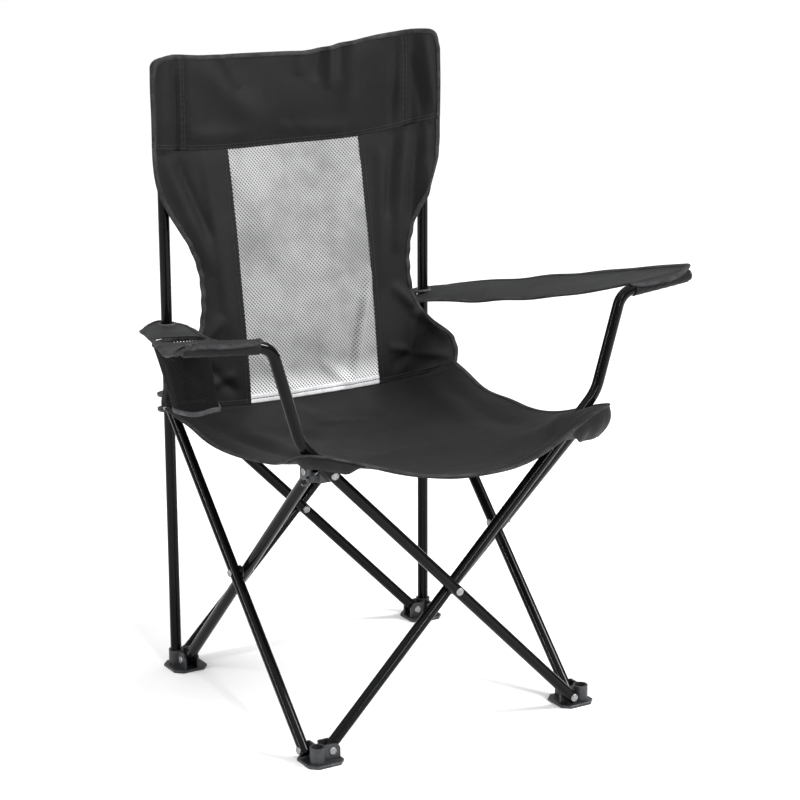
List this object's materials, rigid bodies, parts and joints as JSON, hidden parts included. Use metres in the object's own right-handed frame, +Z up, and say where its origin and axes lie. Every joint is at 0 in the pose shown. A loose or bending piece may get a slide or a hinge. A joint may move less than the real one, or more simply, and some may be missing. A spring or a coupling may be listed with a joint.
{
  "type": "folding camp chair",
  "caption": "Folding camp chair with crossed steel tube legs, a fabric sling seat and mesh-centred back, padded-look fabric armrests and a net cup holder.",
  "frame": {"origin": "on the floor, below the middle of the chair's bounding box", "axes": "the chair faces -Y, +X is to the right of someone looking at its front, +Z is up"},
  "size_m": [0.797, 0.5054, 0.903],
  "materials": {
    "frame_tube": "black gloss powder coat",
    "moulding": "moulded charcoal nylon",
    "plug": "moulded black plug",
    "rivet": "zinc-plated steel",
    "spacer": "nylon",
    "sling": "coated polyester canvas, charcoal",
    "mesh": "open polyester mesh, light grey",
    "net": "black nylon net",
    "binding": "woven grey binding tape"
  },
  "bodies": {
    "rear_left_stand": {"rear_left_foot": "moulding", "rear_left_foot_rivets": "rivet", "rear_left_post": "frame_tube", "rear_left_post_cap": "plug", "back_header": "sling", "back_mesh": "mesh", "back_panel_left": "sling", "back_panel_right": "sling"},
    "rear_right_stand": {"rear_right_foot": "moulding", "rear_right_foot_rivets": "rivet", "rear_right_post": "frame_tube", "rear_right_post_cap": "plug"},
    "front_left_foot": {"front_left_foot": "moulding", "front_left_foot_rivets": "rivet"},
    "front_right_foot": {"front_right_foot": "moulding", "front_right_foot_rivets": "rivet"},
    "rear_cross_outer": {"rear_cross_outer": "frame_tube", "rear_cross_rivet": "rivet", "rear_cross_spacer": "spacer"},
    "rear_cross_inner": {"rear_cross_inner": "frame_tube"},
    "left_cross_inner": {"left_cross_inner": "frame_tube", "left_cross_rivet": "rivet", "left_cross_spacer": "spacer"},
    "left_cross_outer": {"left_cross_outer": "frame_tube"},
    "right_cross_outer": {"right_cross_outer": "frame_tube", "right_cross_rivet": "rivet", "right_cross_spacer": "spacer"},
    "right_cross_inner": {"right_cross_inner": "frame_tube"},
    "front_cross_inner": {"front_cross_inner": "frame_tube", "front_cross_rivet": "rivet", "front_cross_spacer": "spacer", "right_arm_cap": "plug", "right_armrest": "sling"},
    "front_cross_outer": {"front_cross_outer": "frame_tube", "left_arm_cap": "plug", "left_armrest": "sling", "cup_holder_net": "net", "cup_holder_rim": "binding"},
    "rear_left_slider": {"rear_left_slider": "moulding", "rear_left_hub_rivets": "rivet"},
    "rear_right_slider": {"rear_right_slider": "moulding", "rear_right_hub_rivets": "rivet"},
    "front_left_hub": {"front_left_hub": "moulding", "front_left_hub_rivets": "rivet"},
    "front_right_hub": {"front_right_hub": "moulding", "front_right_hub_rivets": "rivet"},
    "seat_rear_half": {"seat_rear_half": "sling"},
    "seat_front_half": {"seat_front_half": "sling"}
  },
  "joints": [
    {"name": "fold", "type": "hinge", "parent": "rear_left_stand", "child": "rear_cross_outer", "pos_m": [-0.193, 0.2244, 0.016], "axis": [0, -1, 0], "range_deg": [0, 40], "deforming": ["back_header", "back_mesh", "back_panel_left", "back_panel_right", "seat_rear_half", "seat_front_half", "left_armrest", "right_armrest", "cup_holder_net", "cup_holder_rim"]},
    {"name": "rear_crossing", "type": "hinge", "parent": "rear_cross_outer", "child": "rear_cross_inner", "pos_m": [0, 0.2244, 0.2115], "axis": [0, -1, 0], "range_deg": [-80, 0]},
    {"name": "rear_right_foot_pivot", "type": "hinge", "parent": "rear_cross_inner", "child": "rear_right_stand", "pos_m": [0.193, 0.2244, 0.016], "axis": [0, -1, 0], "range_deg": [0, 40]},
    {"name": "rear_left_slider_pivot", "type": "hinge", "parent": "rear_cross_inner", "child": "rear_left_slider", "pos_m": [-0.193, 0.2244, 0.407], "axis": [0, -1, 0], "range_deg": [0, 40]},
    {"name": "rear_right_slider_pivot", "type": "hinge", "parent": "rear_cross_outer", "child": "rear_right_slider", "pos_m": [0.193, 0.2244, 0.407], "axis": [0, -1, 0], "range_deg": [-40, 0]},
    {"name": "left_tube_foot_pivot", "type": "hinge", "parent": "rear_left_stand", "child": "left_cross_inner", "pos_m": [-0.215, 0.2024, 0.016], "axis": [-1, 0, 0], "range_deg": [0, 40]},
    {"name": "left_crossing", "type": "hinge", "parent": "left_cross_inner", "child": "left_cross_outer", "pos_m": [-0.215, 0.0094, 0.2115], "axis": [-1, 0, 0], "range_deg": [-80, 0]},
    {"name": "front_left_foot_pivot", "type": "hinge", "parent": "left_cross_outer", "child": "front_left_foot", "pos_m": [-0.215, -0.1836, 0.016], "axis": [-1, 0, 0], "range_deg": [0, 40]},
    {"name": "front_left_hub_pivot", "type": "hinge", "parent": "left_cross_inner", "child": "front_left_hub", "pos_m": [-0.215, -0.1836, 0.407], "axis": [-1, 0, 0], "range_deg": [-40, 0]},
    {"name": "right_tube_foot_pivot", "type": "hinge", "parent": "rear_right_stand", "child": "right_cross_outer", "pos_m": [0.215, 0.2024, 0.016], "axis": [-1, 0, 0], "range_deg": [0, 40]},
    {"name": "right_crossing", "type": "hinge", "parent": "right_cross_outer", "child": "right_cross_inner", "pos_m": [0.215, 0.0094, 0.2115], "axis": [-1, 0, 0], "range_deg": [-80, 0]},
    {"name": "front_right_foot_pivot", "type": "hinge", "parent": "right_cross_inner", "child": "front_right_foot", "pos_m": [0.215, -0.1836, 0.016], "axis": [-1, 0, 0], "range_deg": [0, 40]},
    {"name": "front_right_hub_pivot", "type": "hinge", "parent": "right_cross_outer", "child": "front_right_hub", "pos_m": [0.215, -0.1836, 0.407], "axis": [-1, 0, 0], "range_deg": [-40, 0]},
    {"name": "front_tube_foot_pivot", "type": "hinge", "parent": "front_left_foot", "child": "front_cross_inner", "pos_m": [-0.193, -0.2056, 0.016], "axis": [0, -1, 0], "range_deg": [0, 40]},
    {"name": "front_crossing", "type": "hinge", "parent": "front_cross_inner", "child": "front_cross_outer", "pos_m": [0, -0.2056, 0.2115], "axis": [0, -1, 0], "range_deg": [-80, 0]},
    {"name": "seat_rear_seam", "type": "hinge", "parent": "rear_left_slider", "child": "seat_rear_half", "pos_m": [0, 0.1754, 0.399], "axis": [1, 0, 0], "range_deg": [0, 78]},
    {"name": "seat_middle_fold", "type": "hinge", "parent": "seat_rear_half", "child": "seat_front_half", "pos_m": [0, -0.0326, 0.3725], "axis": [1, 0, 0], "range_deg": [-156, 0]}
  ],
  "couplings": [
    {"joint": "rear_crossing", "follows": "fold", "ratio": -2},
    {"joint": "rear_right_foot_pivot", "follows": "fold", "ratio": 1},
    {"joint": "rear_left_slider_pivot", "follows": "fold", "ratio": 1},
    {"joint": "rear_right_slider_pivot", "follows": "fold", "ratio": -1},
    {"joint": "left_tube_foot_pivot", "follows": "fold", "ratio": 1},
    {"joint": "left_crossing", "follows": "fold", "ratio": -2},
    {"joint": "front_left_foot_pivot", "follows": "fold", "ratio": 1},
    {"joint": "front_left_hub_pivot", "follows": "fold", "ratio": -1},
    {"joint": "right_tube_foot_pivot", "follows": "fold", "ratio": 1},
    {"joint": "right_crossing", "follows": "fold", "ratio": -2},
    {"joint": "front_right_foot_pivot", "follows": "fold", "ratio": 1},
    {"joint": "front_right_hub_pivot", "follows": "fold", "ratio": -1},
    {"joint": "front_tube_foot_pivot", "follows": "fold", "ratio": 1},
    {"joint": "front_crossing", "follows": "fold", "ratio": -2},
    {"joint": "seat_rear_seam", "follows": "fold", "ratio": 1.95},
    {"joint": "seat_middle_fold", "follows": "fold", "ratio": -3.9}
  ]
}
